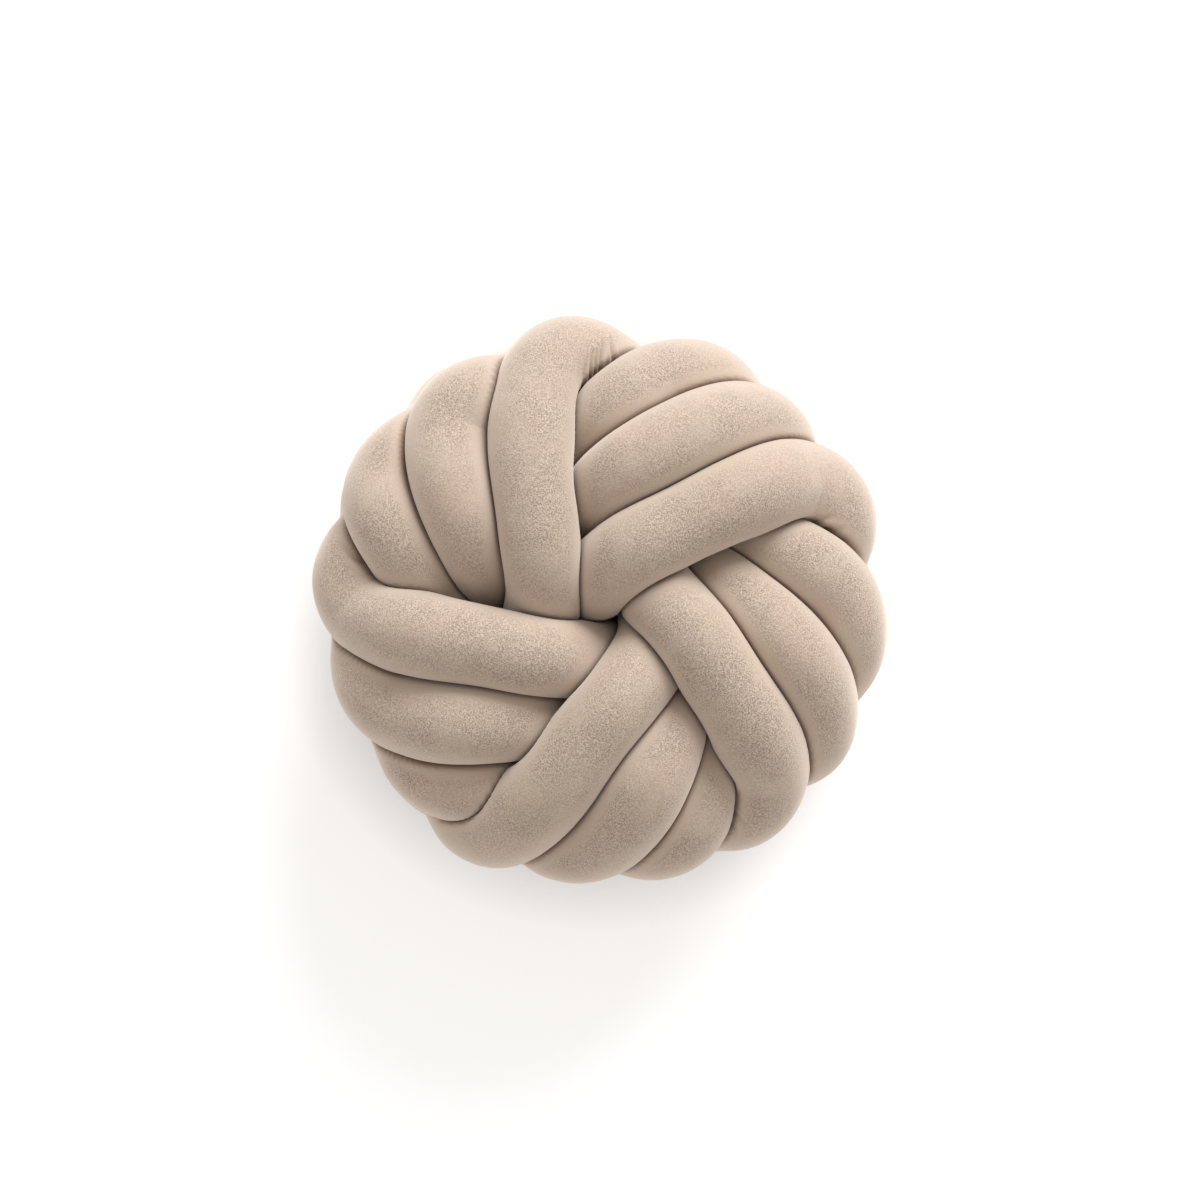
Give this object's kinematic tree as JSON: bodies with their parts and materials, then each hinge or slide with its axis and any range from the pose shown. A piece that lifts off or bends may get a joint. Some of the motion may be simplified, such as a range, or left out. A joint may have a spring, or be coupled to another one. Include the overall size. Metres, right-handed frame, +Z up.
{
  "type": "knot cushion",
  "caption": "Round floor or sofa cushion wound from thick stuffed velvet tubes laid side by side in curved arms that turn over the rim.",
  "frame": {"origin": "middle of the cushion's footprint, on the surface that it lies on", "axes": "+Z up through the face, +Y to the top of the face, +X to the right of the face"},
  "size_m": [0.4484, 0.4432, 0.2337],
  "materials": {
    "velvet": "short-pile beige velvet, matt with a soft sheen at the edges"
  },
  "bodies": {
    "root": {"tube_first_lay": "velvet", "tube_second_lay": "velvet", "tube_third_lay": "velvet"}
  },
  "joints": []
}
